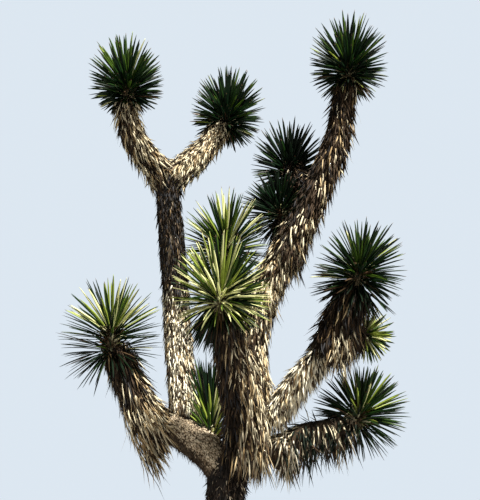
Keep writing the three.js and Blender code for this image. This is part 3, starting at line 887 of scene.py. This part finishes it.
# MATTED: the inner mat's own brown, made near black with painted shade.
MATTED = [(0.25, (0.007, 0.0045, 0.002)), (0.5, (0.030, 0.018, 0.008)), (0.75, (0.10, 0.064, 0.028))]
MAT_STREAKS = {
    "roughness": 0.95, "patches": (95, 8, 0.16), "grit": (140, 8, 0.16), "distance": 0.012, "strength": 1.0,
}


def thatch_places(thatch, t, angle):
    """Middle, outward direction, tangent, wood offset and sleeve offset of places at share t of a thatch.

    The sleeve stands off the wood by the thatch's thickness, with a ruffle. On a leaning limb its underside
    also hangs straight down, more towards the lower end."""
    limb, start, end, thick, hang = thatch
    (foot_radius, tip_radius), path = LIMBS[limb]
    along = blend_between(start, end, t)
    middle, outward, tangent = round_limb(path, along, angle)
    wood = blend_between(foot_radius, tip_radius, along)[..., None] * outward
    kept = np.clip(t, 0, 1)
    ruffle = RUFFLE * np.sin(9 * t + 3 * np.arctan2(outward[..., 1], outward[..., 0]))
    stand = blend_between(thick[0], thick[1], kept) * (1 + ruffle)
    lean = np.sqrt(np.maximum(0, 1 - tangent[..., 2] ** 2))
    under = (0.5 - 0.5 * outward[..., 2]) * ease(1 - kept, 0, HANG_GROWS)
    drop = np.zeros(outward.shape)
    drop[..., 2] = -hang * lean * under
    return middle, outward, tangent, wood, stand[..., None] * outward + drop


def matted_core(name, thatch, seed):
    """The matted inner leaves and their rings: a sleeve at half the thickness, ridged along the leaves."""
    steps = max(8, round((thatch[2] - thatch[1]) * MAT_RINGS))
    t = np.linspace(0.0, 1.0, steps)[:, None] + np.zeros((1, MAT_AROUND))
    angle = np.linspace(0, 2 * np.pi, MAT_AROUND, endpoint=False)[None, :] + np.zeros((steps, 1))
    middle, _, _, wood, stand = thatch_places(thatch, t, angle)
    taper = (0.25 + 0.75 * np.sin(np.pi * np.clip(t, 0.06, 0.94)) ** 0.4)[..., None]
    unrolled = np.stack([np.cos(angle) * 0.5, np.sin(angle) * 0.5, t * 0.12], axis=-1)
    ridge = 0.5 * waviness(unrolled, 0.13, seed)
    surface_at = middle + wood + stand * taper * (0.50 + 0.12 * ridge)[..., None]
    return stacked_rings(name, surface_at), surface_at


def thatch_leaves(name, thatch, lay, area, length, seed):
    """Dead leaves scattered over the sleeve, rooted in the mat and lying downwards along it.

    A leaf's way is a mix of back along the limb and straight down, less whatever points into the limb, so
    that it lies on the upper side and hangs free below. It starts a little outwards and curls back towards
    the limb. The leaves lie in locks, and outer leaves in the partings between locks take the dark inner
    tints, as painted shade."""
    follow, reach, breadth, spring, crowd, cast, dark_span, dark = lay
    outer, set_in, painted_shade_share, parting_shade = cast
    rng = np.random.default_rng(seed)
    count = int(area * DEAD_LEAVES_PER_SQUARE_METRE * crowd)
    size = rng.uniform(*reach, count)
    top = min(1.25, (1 - thatch[1]) / (thatch[2] - thatch[1]))
    t = blend_between(0.35 * reach[1] / length, top, (rng.permutation(count) + rng.random(count)) / count)
    angle = np.arange(count) * GOLDEN_TURN + rng.normal(0, 0.25, count)
    middle, outward, tangent, wood, stand = thatch_places(thatch, t, angle)
    depth = rng.uniform(0.10, 0.88, count)
    root = middle + wood + stand * depth[:, None]
    way = unit(-follow * tangent + np.array([0.0, 0.0, follow - 1.0]))
    into = np.minimum(0, (way * outward).sum(axis=-1, keepdims=True))
    size = size * (1 + 0.45 * into[:, 0]) * (1 + 0.75 * (1 - follow) * (1 - ease(t, 0.02, 0.22)))
    way = unit(way - into * outward + rng.normal(0, 0.16, (count, 3)))
    rise = spring * rng.uniform(0.2, 1.6, count)[:, None] * (1.2 - depth[:, None])
    rise = np.where(rng.random(count)[:, None] < STRAY_SHARE, rise + STRAY_RISE, rise)
    heading_in = unit(way + outward * rise)
    heading_out = unit(way + outward * (0.06 - 0.5 * rise) + rng.normal(0, 0.08 + 0.45 * spring, (count, 3)))
    facing = unit(outward + rng.normal(0, 0.15 + 1.1 * spring, (count, 3)))
    bleached = rng.random(count) < ease(depth, *set_in)
    tint = np.where(bleached, dealt(outer, count, rng), dealt(INNER, count, rng))
    x, y = LOCK_RADIUS * np.cos(angle), LOCK_RADIUS * np.sin(angle)
    unrolled = np.stack([x, y, LOCK_DRAWN_OUT * length * t], axis=-1)
    parting = ease(waviness(unrolled, LOCK_WIDTH, seed + 40), *PARTING)
    # Painted shade: outer leaves in the partings between locks take the dark inner tints.
    tint = np.where(rng.random(count) < parting_shade * parting, dealt(INNER, count, rng), tint)
    # Painted shade on the side of the thatch turned away from the lit side.
    painted_shade_side = ease(-(outward @ np.array(PAINTED_LIGHT_SIDE)), *PAINTED_SHADE_SPAN)
    tint = np.where(rng.random(count) < painted_shade_share * painted_shade_side, dealt(SHADED, count, rng), tint)
    tint = np.where(rng.random(count) < ease(t, *dark_span), dealt(dark, count, rng), tint)
    tip = np.where(rng.random(count) < BROWN_TIPS, DEAD_NUMBER["brown"], tint)
    base = np.where(rng.random(count) < BROWN_FEET, DEAD_NUMBER["brown"], tint)
    pale_foot = (tint == DEAD_NUMBER["dark_green"]) & (rng.random(count) < PALE_GREEN_FEET)
    base = np.where(pale_foot, DEAD_NUMBER["bleached"], base)
    width = rng.uniform(*breadth, count)
    fold = rng.uniform(-0.75, -0.2, count)
    return blades(
        name, root, heading_in, heading_out, size, width, facing, fold, DEAD_LEAF_SHAPE, dead_tints, tint,
        tip, base,
    )


dead_tints = plain_tints(DEAD_TINTS, roughness=0.8, ribs=900)
matted = mottled("matted_leaves", MATTED[1][1], MATTED, **MAT_STREAKS)
pale_matted = mottled("pale_matted_leaves", MATTED_PALE[1][1], MATTED_PALE, **MAT_STREAKS)

for number, (name, thatch) in enumerate(THATCHES.items()):
    core, core_rings = matted_core(f"{name}_mat", thatch, MAT_SEED + number)
    core.data.materials.append(pale_matted if name in PALE_MATS else matted)
    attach(core, "root")
    limb, start, end = thatch[:3]
    thatch_length = path_length(LIMBS[limb][1]) * (end - start)
    ring_lengths = np.linalg.norm(core_rings - np.roll(core_rings, 1, axis=1), axis=-1).sum(axis=1)
    area = ring_lengths.mean() * thatch_length
    leaves = thatch_leaves(
        f"{name}_leaves", thatch, LAYS[name], area, thatch_length, DEAD_LEAF_SEED + number
    )
    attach(leaves, "root")
    if name not in FRINGES:
        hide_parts(name)


# The heads: stiff green leaves that stand out on all sides of each limb's tip. The youngest point along the
# axis, older ones lie lower, and the oldest, at the foot of the head, wither and hang back.

# The heart that the leaves radiate from, how far they reach along the axis, across it and back, and the axis.
HEADS = {
    "top_left_head": ((-0.710, -0.255, 4.120), (0.425, 0.270, 0.215), (-0.1, -0.1, 1)),
    "inner_left_head": ((-0.010, 0.300, 4.150), (0.445, 0.290, 0.260), (0.12, 0.1, 1)),
    "right_top_head": ((0.925, 0.200, 4.515), (0.485, 0.312, 0.320), (0.02, 0, 1)),
    "behind_head": ((0.480, 0.560, 3.825), (0.455, 0.310, 0.290), (0.02, 0.15, 1)),
    "centre_head": ((-0.030, -0.620, 2.505), (0.455, 0.310, 0.300), (0.02, -0.1, 1)),
    "centre_back_head": ((-0.010, 0.105, 3.040), (0.450, 0.330, 0.290), (0, -0.1, 1)),
    "inner_head": ((0.380, 0.300, 3.385), (0.335, 0.300, 0.295), (-0.4, -0.15, 1)),
    "low_left_head": ((-0.790, 0.050, 2.395), (0.440, 0.370, 0.380), (0, -0.2, 1)),
    "mid_right_head": ((0.909, -0.100, 2.822), (0.405, 0.325, 0.345), (0.32, -0.1, 1)),
    "mid_right_small_head": ((0.971, 0.150, 2.425), (0.205, 0.215, 0.215), (0.7, 0.3, -0.2)),
    "low_right_head": ((0.930, 0.330, 1.898), (0.368, 0.350, 0.350), (0.45, 0.1, 0.9)),
    "bough_head": ((-0.104, 0.120, 1.780), (0.520, 0.165, 0.062), (-0.05, 0, 1)),
}
LEAF_TINTS = {
    "leaf_deep": (0.0030, 0.0125, 0.0040),
    "leaf_green": (0.009, 0.031, 0.004),
    "leaf_fresh": (0.046, 0.092, 0.008),
    "leaf_lime": (0.260, 0.330, 0.050),
    "leaf_yellow": (0.790, 0.800, 0.380),
    "leaf_pale_base": (0.740, 0.710, 0.460),
    "leaf_spine": (0.110, 0.060, 0.032),
    "leaf_withered": (0.085, 0.052, 0.026),
}
LEAF_NUMBER = {name: number for number, name in enumerate(LEAF_TINTS)}
# Shares of the tints, in their order above. A tint past the end of a row gets no leaves.
YOUNG = (0.16, 0.38, 0.34, 0.10, 0.02)
FRESH_YOUNG = (0.16, 0.34, 0.32, 0.13, 0.05)
HALF_GROWN = (0.34, 0.42, 0.19, 0.05, 0.0)
SUNLIT_YOUNG = (0.30, 0.36, 0.20, 0.09, 0.05)
GROWN = (0.50, 0.38, 0.10, 0.02, 0.00)
# OLD and NECK are partly the real dark of old leaves and partly painted shade under the head.
OLD = (0.72, 0.18, 0.01, 0.01, 0.02, 0.0, 0.0, 0.06)
GOLDEN_YOUNG = (0.10, 0.18, 0.20, 0.24, 0.28)
GOLDEN_GROWN = (0.16, 0.22, 0.18, 0.18, 0.26)
CREAM_OLD = (0.30, 0.16, 0.07, 0.09, 0.38)
NECK = (0.46, 0.12, 0.02, 0.0, 0.02, 0.0, 0.20, 0.18)
STUBS = (0.06, 0.05, 0.03, 0.0, 0.04, 0.26, 0.28, 0.28)
# DARK_GREEN is painted shade, for heads and tiers that sit in the shade of others.
DARK_GREEN = (0.84, 0.15, 0.01)
PALE_FOOTED = (GOLDEN_YOUNG, GOLDEN_GROWN, CREAM_OLD)
# Tiers of leaves from the tip of the head down: how many, between which angles from the axis, what share of
# the reach, how wide, how much they arch, how far their feet lie back along the axis, and the shares of the
# tints.
STUB_TIERS = [(30, 40, 100, 0.34, 0.024, 0.03, -0.03, STUBS), (40, 70, 150, 0.34, 0.024, 0.03, 0.05, STUBS)]
PLAIN_TIERS = [
    (76, 0, 58, 1.00, 0.0240, 0.02, -0.02, YOUNG),
    (120, 52, 108, 1.00, 0.0225, 0.03, 0.02, GROWN),
    (90, 100, 150, 1.00, 0.0195, 0.05, 0.07, OLD),
    (46, 140, 172, 0.85, 0.0160, 0.00, 0.09, NECK),
]
DARKER_TIERS = [PLAIN_TIERS[0][:-1] + (HALF_GROWN,)] + PLAIN_TIERS[1:]


def shaded_tiers(share):
    """The plain tiers with this share of their leaves, all in dark green."""
    return [(round(tier[0] * share),) + tier[1:-1] + (DARK_GREEN,) for tier in PLAIN_TIERS]


TIERS = {
    "top_left_head": PLAIN_TIERS,
    "inner_left_head": DARKER_TIERS,
    "right_top_head": DARKER_TIERS,
    "behind_head": shaded_tiers(0.8),
    "centre_head": [
        (64, 0, 50, 1.00, 0.0235, 0.03, -0.02, GOLDEN_YOUNG),
        (58, 44, 76, 1.04, 0.0195, 0.05, 0.01, GOLDEN_GROWN),
        (46, 74, 102, 1.04, 0.0185, 0.07, 0.03, CREAM_OLD),
        (72, 96, 142, 1.06, 0.0170, 0.16, 0.05, CREAM_OLD),
        (40, 135, 168, 0.90, 0.0150, 0.00, 0.09, NECK),
    ],
    "centre_back_head": [
        (66, 0, 56, 1.00, 0.0225, 0.03, -0.02, GOLDEN_GROWN),
        (105, 50, 108, 1.00, 0.0180, 0.05, 0.02, SUNLIT_YOUNG),
        (50, 100, 145, 1.00, 0.0160, 0.10, 0.06, GROWN),
    ],
    "inner_head": shaded_tiers(0.7),
    "low_left_head": [
        (60, 0, 62, 1.00, 0.0220, 0.02, -0.04, GOLDEN_YOUNG),
        (60, 56, 92, 0.97, 0.0145, 0.04, 0.01, GROWN),
        (84, 84, 146, 1.00, 0.0130, 0.07, 0.10, OLD),
        (34, 118, 164, 1.16, 0.0130, 0.04, 0.10, OLD),
    ],
    "mid_right_head": [
        (58, 0, 58, 1.00, 0.0215, 0.02, -0.02, SUNLIT_YOUNG),
        (84, 52, 108, 1.00, 0.0180, 0.03, 0.02, GROWN),
        (90, 98, 148, 1.04, 0.0180, 0.05, 0.07, OLD),
        (60, 125, 165, 1.20, 0.0160, 0.03, 0.12, OLD),
    ],
    "mid_right_small_head": [
        (50, 0, 70, 1.00, 0.0210, 0.02, -0.01, GOLDEN_YOUNG),
        (70, 60, 125, 1.00, 0.0170, 0.03, 0.02, GOLDEN_GROWN),
    ],
    "low_right_head": [
        (92, 0, 60, 1.00, 0.0200, 0.02, -0.02, FRESH_YOUNG),
        (110, 54, 110, 1.00, 0.0180, 0.04, 0.02, GROWN),
        (70, 100, 150, 1.02, 0.0140, 0.12, 0.08, OLD),
    ],
    "bough_head": [
        (40, 0, 26, 1.00, 0.0220, 0.02, -0.02, DARK_GREEN),
        (50, 14, 50, 0.72, 0.0220, 0.03, 0.01, GOLDEN_YOUNG),
        (40, 45, 95, 0.75, 0.0190, 0.08, 0.05, GOLDEN_GROWN),
        (46, 85, 130, 0.85, 0.0170, -0.10, 0.08, NECK),
    ],
}
LEAF_SHAPE = [(0.0, 0.55), (0.14, 0.50), (0.5, 1.0), (0.8, 0.70), (0.95, 0.26)]
LEAF_SEED = 500
SHADED_SIDES = 0.5
SPINED_TIPS = 0.6
PALE_FEET_OF_GOLDEN = 0.75
PALE_FEET_OF_GREEN = 0.3
BUD_FOOT = -0.14
BUD_TOP = 0.07
BUD_MIDDLE = 0.045
BUD_HALF_LENGTH = 0.117
BUD_RADIUS = 0.050
BUD_RINGS = 26
BUD_AROUND = 28
BUD_COLOUR = (0.10, 0.075, 0.04)
BUD_STOPS = [(0.3, (0.030, 0.022, 0.012)), (0.5, (0.12, 0.09, 0.045)), (0.72, (0.36, 0.30, 0.17))]


def leaf_head(name, heart, reach, axis, tiers, seed):
    """A head of leaves set round the limb's tip by the golden turn, in tiers.

    In a tier, the cosine of a leaf's angle from the axis falls evenly from leaf to leaf, so the leaves are
    spread evenly over their zone of the ball. A foot is on a short cone of stem, and a tip is on an egg with
    the given reach ahead, across and back. A leaf arches up and falls back by its tier's amount."""
    rng = np.random.default_rng(seed)
    heart, axis = np.array(heart), unit(np.array(axis, float))
    ahead, across, back = reach
    parts = []
    turned_by = 0.0
    for count, first_angle, last_angle, far, wide, arch, sunk, shares in tiers:
        place = (np.arange(count) + 0.5) / count
        first_cosine, last_cosine = np.cos(np.radians([first_angle, last_angle]))
        lean = np.arccos(blend_between(first_cosine, last_cosine, place)) + rng.normal(0, 0.05, count)
        angle = np.arange(count) * GOLDEN_TURN + turned_by + rng.normal(0, 0.10, count)
        turned_by += count * GOLDEN_TURN
        radial = spokes(axis, angle)
        direction = axis * np.cos(lean)[:, None] + radial * np.sin(lean)[:, None]
        cosine = np.cos(lean)
        limit = blend_between(across, np.where(cosine > 0, ahead, back), cosine ** 2) * far
        down_stem = (sunk + 0.03 * (place - 0.5))[:, None]
        off_stem = (0.018 + 0.022 * lean / np.pi)[:, None]
        foot = heart - axis * down_stem + radial * off_stem
        tip = heart + direction * (limit * rng.uniform(0.90, 1.03, count))[:, None]
        way = tip - foot
        length = np.linalg.norm(way, axis=1)
        way = way / length[:, None]
        above = unit(axis - way * (way * axis).sum(axis=1, keepdims=True))
        bow = np.abs(rng.normal(arch, 0.03, count))[:, None] * np.array([0.0, 0.0, 1.0]) + above * arch * 0.4
        tint = dealt(shares, count, rng)
        green = tint < LEAF_NUMBER["leaf_pale_base"]
        shade = np.where((rng.random(count) < SHADED_SIDES) & green, np.maximum(tint - 1, 0), tint)
        pale = rng.random(count) < (PALE_FEET_OF_GOLDEN if shares in PALE_FOOTED else PALE_FEET_OF_GREEN)
        width = wide * rng.uniform(0.82, 1.12, count)
        facing = unit(above + rng.normal(0, 0.28, (count, 3)))
        fold = rng.uniform(0.45, 0.95, count)
        spine = np.where(rng.random(count) < SPINED_TIPS, LEAF_NUMBER["leaf_spine"], tint)
        base = np.where(pale, LEAF_NUMBER["leaf_pale_base"], tint)
        parts.append((foot, way + bow, way - bow, length, width, facing, fold, tint, spine, base, shade))
    foot, heading_in, heading_out, length, width, facing, fold, tint, spine, base, shade = (
        np.concatenate(column) for column in zip(*parts))
    return blades(
        name, foot, heading_in, heading_out, length, width, facing, fold, LEAF_SHAPE, leaf_tints, tint, spine,
        base, shade,
    )


def bud(name, heart, axis):
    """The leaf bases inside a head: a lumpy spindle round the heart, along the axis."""
    heart, axis = np.array(heart), unit(np.array(axis, float))
    rise = np.linspace(BUD_FOOT, BUD_TOP, BUD_RINGS)
    bulge = 1 - ((rise + BUD_MIDDLE) / BUD_HALF_LENGTH) ** 2
    girth = BUD_RADIUS * np.sqrt(np.clip(bulge, 0.01, 1))
    angle = np.arange(BUD_AROUND) * 2 * np.pi / BUD_AROUND
    lumps = 1 + 0.10 * np.sin(8 * angle + rise[:, None] * 150) * np.cos(5 * angle - rise[:, None] * 90)
    places = heart + axis * rise[:, None, None] + spokes(axis, angle) * (girth[:, None] * lumps)[..., None]
    return stacked_rings(name, places)


leaf_tints = plain_tints(LEAF_TINTS, roughness=0.46, ribs=500)

bases = mottled(
    "leaf_bases", BUD_COLOUR, BUD_STOPS, roughness=0.8, patches=(70, 6, 0.4), grit=(150, 6, 0.4),
    distance=0.006, strength=0.9,
)

for number, (head, (heart, reach, axis)) in enumerate(HEADS.items()):
    leaves = leaf_head(f"{head}_leaves", heart, reach, axis, TIERS[head] + STUB_TIERS, LEAF_SEED + number)
    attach(leaves, "root")
    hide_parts(head)
    head_bud = bud(f"{head}_bud", heart, axis)
    head_bud.data.materials.append(bases)
    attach(head_bud, "root")


# The centre head's sagged sides: a spray of older leaves, bleached to cream, that has sunk to the right in
# front, and one of dark old leaves, darker still with painted shade, that hangs on the left behind.
BLEACHED_SPRAY = (0.16, 0.14, 0.10, 0.20, 0.40)
SPRAY_SEED = 530
# The spray's way, its reach and its tier of leaves.
SPRAYS = {
    "centre_head_spray": ((0.90, -0.42, -0.16), (0.345, 0.330, 0.300),
                          (52, 0, 46, 1.00, 0.0150, 0.06, 0.00, BLEACHED_SPRAY)),
    "centre_head_dark_spray": ((-0.34, 0.34, -0.88), (0.385, 0.330, 0.300),
                               (40, 0, 26, 1.00, 0.0150, 0.03, 0.00, OLD)),
}
for number, (name, (way, reach, tier)) in enumerate(SPRAYS.items()):
    spray = leaf_head(name, HEADS["centre_head"][0], reach, way, [tier], SPRAY_SEED + number)
    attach(spray, "root")


# The studio: a plain pale floor, one large soft lamp high on the right in front, and pale light from all
# round. The camera looks up at the plant from low in front of it.
FLOOR_REACH = 40
FLOOR_SHADE = (0.30, 0.30, 0.297)
KEY_WAY = np.array([0.40, -0.51, 1.0])
KEY_STRENGTH = 9.0
KEY_ANGLE = np.radians(4)
KEY_COLOUR = (1.0, 0.965, 0.90)
FILL_COLOUR = (0.90, 0.89, 0.87)
FILL_STRENGTH = 0.095
WALL_COLOUR = (0.72, 0.80, 0.88)
CAMERA_PLACE = (0.092, -6.0, 1.2)
CAMERA_TILT = np.radians(106.7)
CAMERA_LENS = 64.44
CAMERA_SENSOR = 36

floor_corners = [(x * FLOOR_REACH, y * FLOOR_REACH, 0) for x, y in ((-1, -1), (1, -1), (1, 1), (-1, 1))]
floor_mesh = bpy.data.meshes.new("floor")
floor_mesh.from_pydata(floor_corners, [], [(0, 1, 2, 3)])
floor = bpy.data.objects.new("floor", floor_mesh)
bpy.context.scene.collection.objects.link(floor)
floor.data.materials.append(surface("pale_floor", FLOOR_SHADE, roughness=0.9)[0])

key = bpy.data.lights.new("key", "SUN")
key.energy = KEY_STRENGTH
key.angle = KEY_ANGLE
key.color = KEY_COLOUR
key_lamp = bpy.data.objects.new("key", key)
bpy.context.scene.collection.objects.link(key_lamp)
key_lamp.rotation_mode = "QUATERNION"
key_lamp.rotation_quaternion = Vector(-KEY_WAY).to_track_quat("-Z", "Y")

world = bpy.data.worlds.new("studio")
world.use_nodes = True
studio = world.node_tree
fill = studio.nodes["Background"]
fill.inputs["Color"].default_value = (*FILL_COLOUR, 1.0)
fill.inputs["Strength"].default_value = FILL_STRENGTH
wall = studio.nodes.new("ShaderNodeBackground")
wall.inputs["Color"].default_value = (*WALL_COLOUR, 1.0)
seen = studio.nodes.new("ShaderNodeLightPath")
either = studio.nodes.new("ShaderNodeMixShader")
studio.links.new(seen.outputs["Is Camera Ray"], either.inputs["Fac"])
studio.links.new(fill.outputs["Background"], either.inputs[1])
studio.links.new(wall.outputs["Background"], either.inputs[2])
studio.links.new(either.outputs["Shader"], studio.nodes["World Output"].inputs["Surface"])
bpy.context.scene.world = world
bpy.context.scene.view_settings.view_transform = "Standard"

view = bpy.data.cameras.new("camera")
view.lens = CAMERA_LENS
view.sensor_width = CAMERA_SENSOR
camera = bpy.data.objects.new("camera", view)
camera.location = CAMERA_PLACE
camera.rotation_euler = (CAMERA_TILT, 0, 0)
bpy.context.scene.collection.objects.link(camera)
bpy.context.scene.camera = camera
